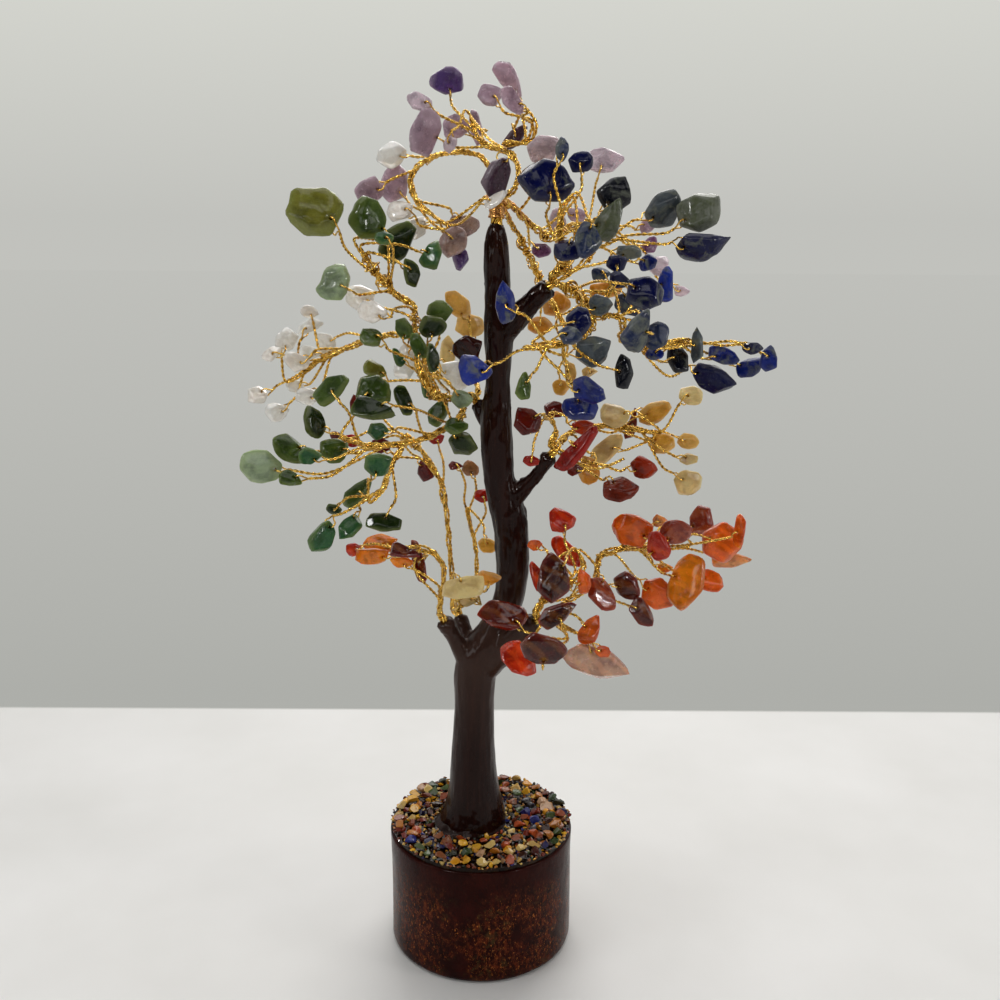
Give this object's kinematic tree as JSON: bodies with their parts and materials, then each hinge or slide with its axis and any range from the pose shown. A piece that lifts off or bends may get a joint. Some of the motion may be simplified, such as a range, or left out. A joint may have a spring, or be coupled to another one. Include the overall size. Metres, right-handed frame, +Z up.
{
  "type": "gemstone tree ornament",
  "caption": "Gemstone tree: moulded trunk on a round base with gravel, and gold wire branches that carry drilled stone chips in seven colours.",
  "frame": {"origin": "centre of the base block's underside", "axes": "+Z up along the tree; the picture's camera looks along +Y, with +X to its right"},
  "size_m": [0.1399, 0.0878, 0.2409],
  "materials": {
    "base": "dark maroon lacquer with sponged rust and olive speckle",
    "trunk": "glossy very dark brown moulded resin",
    "clear_resin": "clear set resin",
    "gold_wire": "bright gold coated wire",
    "amethyst": "tumbled lilac stone",
    "lapis": "tumbled navy stone with pale mottling",
    "green": "tumbled green stone",
    "quartz": "clear tumbled stone",
    "yellow": "tumbled straw yellow stone",
    "jasper": "tumbled dark red stone",
    "carnelian": "tumbled banded orange stone",
    "gravel_ochre": "crushed stone under clear resin",
    "gravel_cream": "crushed stone under clear resin",
    "gravel_orange": "crushed stone under clear resin",
    "gravel_maroon": "crushed stone under clear resin",
    "gravel_navy": "crushed stone under clear resin",
    "gravel_green": "crushed stone under clear resin",
    "gravel_clear": "crushed stone under clear resin"
  },
  "bodies": {
    "tree": {"amethyst_rear_wires": "gold_wire", "base_block": "base", "carnelian_heart_wires": "gold_wire", "foot_collar": "trunk", "gravel_clear": "gravel_clear", "gravel_cream": "gravel_cream", "gravel_green": "gravel_green", "gravel_maroon": "gravel_maroon", "gravel_navy": "gravel_navy", "gravel_ochre": "gravel_ochre", "gravel_orange": "gravel_orange", "green_heart_wires": "gold_wire", "inner_amethyst_chips": "amethyst", "inner_carnelian_chips": "carnelian", "inner_green_chips": "green", "inner_jasper_chips": "jasper", "inner_lapis_chips": "lapis", "inner_quartz_chips": "quartz", "inner_yellow_chips": "yellow", "jasper_inner_wires": "gold_wire", "jasper_left_wires": "gold_wire", "jasper_low_wires": "gold_wire", "jasper_right_wires": "gold_wire", "lapis_crown_wires": "gold_wire", "lapis_front_wires": "gold_wire", "lapis_heart_wires": "gold_wire", "pale_left_wires": "gold_wire", "resin_bed": "clear_resin", "top_winding": "gold_wire", "trunk": "trunk", "wire_core": "gold_wire", "yellow_heart_wires": "gold_wire", "yellow_low_wires": "gold_wire", "yellow_right_wires": "gold_wire"},
    "amethyst_top": {"amethyst_top_amethyst_chips": "amethyst", "amethyst_top_wires": "gold_wire"},
    "lapis_right": {"lapis_right_lapis_chips": "lapis", "lapis_right_wires": "gold_wire"},
    "lapis_far": {"lapis_far_lapis_chips": "lapis", "lapis_far_wires": "gold_wire"},
    "green_high": {"green_high_green_chips": "green", "green_high_wires": "gold_wire"},
    "green_side": {"green_side_green_chips": "green", "green_side_wires": "gold_wire"},
    "quartz_side": {"quartz_side_quartz_chips": "quartz", "quartz_side_wires": "gold_wire"},
    "yellow_side": {"yellow_side_jasper_chips": "jasper", "yellow_side_wires": "gold_wire", "yellow_side_yellow_chips": "yellow"},
    "carnelian_left": {"carnelian_left_carnelian_chips": "carnelian", "carnelian_left_wires": "gold_wire"},
    "carnelian_low": {"carnelian_low_carnelian_chips": "carnelian", "carnelian_low_wires": "gold_wire"},
    "carnelian_right": {"carnelian_right_carnelian_chips": "carnelian", "carnelian_right_wires": "gold_wire"}
  },
  "joints": [
    {"name": "amethyst_top_bend", "type": "hinge", "parent": "tree", "child": "amethyst_top", "pos_m": [0.0037, -0.00115, 0.20694], "axis": [0, 1, 0], "range_deg": [-12, 12]},
    {"name": "lapis_right_bend", "type": "hinge", "parent": "tree", "child": "lapis_right", "pos_m": [0.01858, -0.0025, 0.18789], "axis": [0, 1, 0], "range_deg": [-8, 18]},
    {"name": "lapis_far_bend", "type": "hinge", "parent": "tree", "child": "lapis_far", "pos_m": [0.03386, -0.02016, 0.17934], "axis": [0, 1, 0], "range_deg": [-10, 20]},
    {"name": "green_high_bend", "type": "hinge", "parent": "tree", "child": "green_high", "pos_m": [-0.01859, -0.0068, 0.18275], "axis": [0, 1, 0], "range_deg": [-6, 8]},
    {"name": "green_side_bend", "type": "hinge", "parent": "tree", "child": "green_side", "pos_m": [-0.00385, 0.0065, 0.15667], "axis": [0, 1, 0], "range_deg": [-12, 10]},
    {"name": "quartz_side_bend", "type": "hinge", "parent": "tree", "child": "quartz_side", "pos_m": [-0.01711, -0.00786, 0.1738], "axis": [0, 1, 0], "range_deg": [-12, 10]},
    {"name": "yellow_side_bend", "type": "hinge", "parent": "tree", "child": "yellow_side", "pos_m": [0.0198, -0.00224, 0.14528], "axis": [0, 1, 0], "range_deg": [-8, 12]},
    {"name": "carnelian_left_bend", "type": "hinge", "parent": "tree", "child": "carnelian_left", "pos_m": [-0.01118, -0.00351, 0.09915], "axis": [0, 1, 0], "range_deg": [-15, 15]},
    {"name": "carnelian_low_bend", "type": "hinge", "parent": "tree", "child": "carnelian_low", "pos_m": [0.01617, -0.01232, 0.10113], "axis": [0, 1, 0], "range_deg": [-8, 16]},
    {"name": "carnelian_right_bend", "type": "hinge", "parent": "tree", "child": "carnelian_right", "pos_m": [0.01721, -0.01027, 0.10059], "axis": [0, 1, 0], "range_deg": [-12, 14]}
  ]
}
